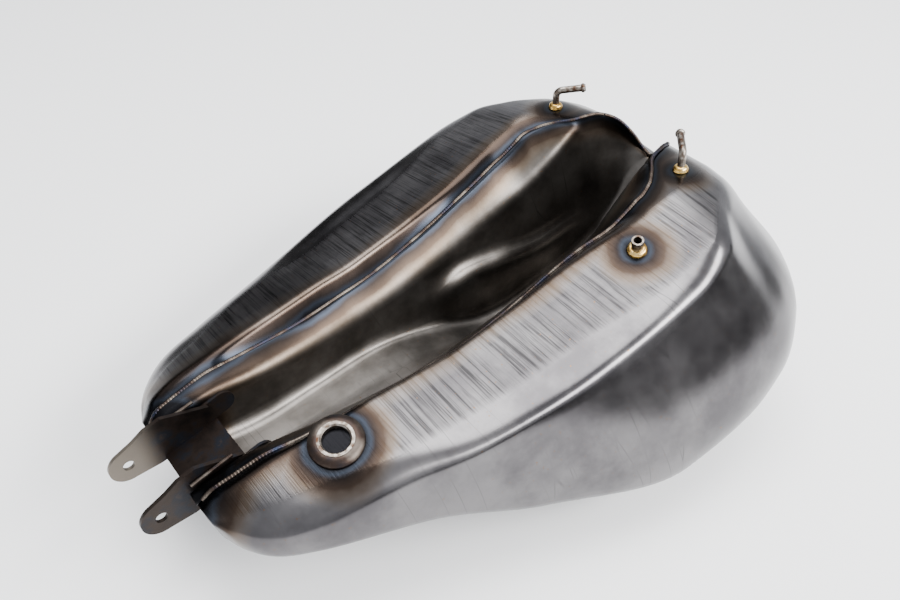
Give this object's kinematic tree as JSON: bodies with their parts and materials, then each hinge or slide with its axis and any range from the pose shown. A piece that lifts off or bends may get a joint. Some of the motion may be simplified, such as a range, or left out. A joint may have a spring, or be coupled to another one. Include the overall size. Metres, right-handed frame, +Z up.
{
  "type": "fuel tank",
  "caption": "Bare welded motorcycle fuel tank lying on its crown: two bulging lobes either side of a full-length tunnel, ears at the tail, fuel tap bung, vent and crossover pipes.",
  "frame": {"origin": "middle of the bounding box's base, which is the floor that the crown rests on", "axes": "the tank lies upside down as stored: +Z is up and is the way that the tank's underside faces, +X runs from the tail to the nose, +Y is the tank's far lobe; the underside is tipped nose-up by 14.4 degrees, so the tank's own axis lies in the XZ plane"},
  "size_m": [0.6084, 0.4322, 0.2531],
  "materials": {
    "skin_steel": "bare cold-rolled sheet, linished along and across, with heat tint near the welds",
    "tunnel_steel": "bare pressed sheet, dull grey, straw and brown near the seam",
    "weld_steel": "rippled weld bead with blue and brown heat tint",
    "dark_plate": "oxidised hot-rolled plate, nearly black, bare at the left tip",
    "fitting_steel": "turned steel, dull and a little rusty",
    "brass_braze": "bright brazed fillet"
  },
  "bodies": {
    "root": {"left_skin": "skin_steel", "right_skin": "skin_steel", "tunnel": "tunnel_steel", "left_seam_weld": "weld_steel", "right_seam_weld": "weld_steel", "arch_weld": "weld_steel", "rear_spine_weld": "weld_steel", "front_spine_weld": "weld_steel", "nose_weld": "weld_steel", "tail_bracket": "dark_plate", "left_doubler": "dark_plate", "right_doubler": "dark_plate", "left_bracket_weld": "weld_steel", "right_bracket_weld": "weld_steel", "petcock_bung": "fitting_steel", "bung_weld": "weld_steel", "vent_tube": "fitting_steel", "vent_braze": "brass_braze", "left_crossover_nipple": "fitting_steel", "right_crossover_nipple": "fitting_steel", "left_nipple_braze": "brass_braze", "right_nipple_braze": "brass_braze", "filler_neck": "fitting_steel", "filler_weld": "weld_steel"}
  },
  "joints": []
}
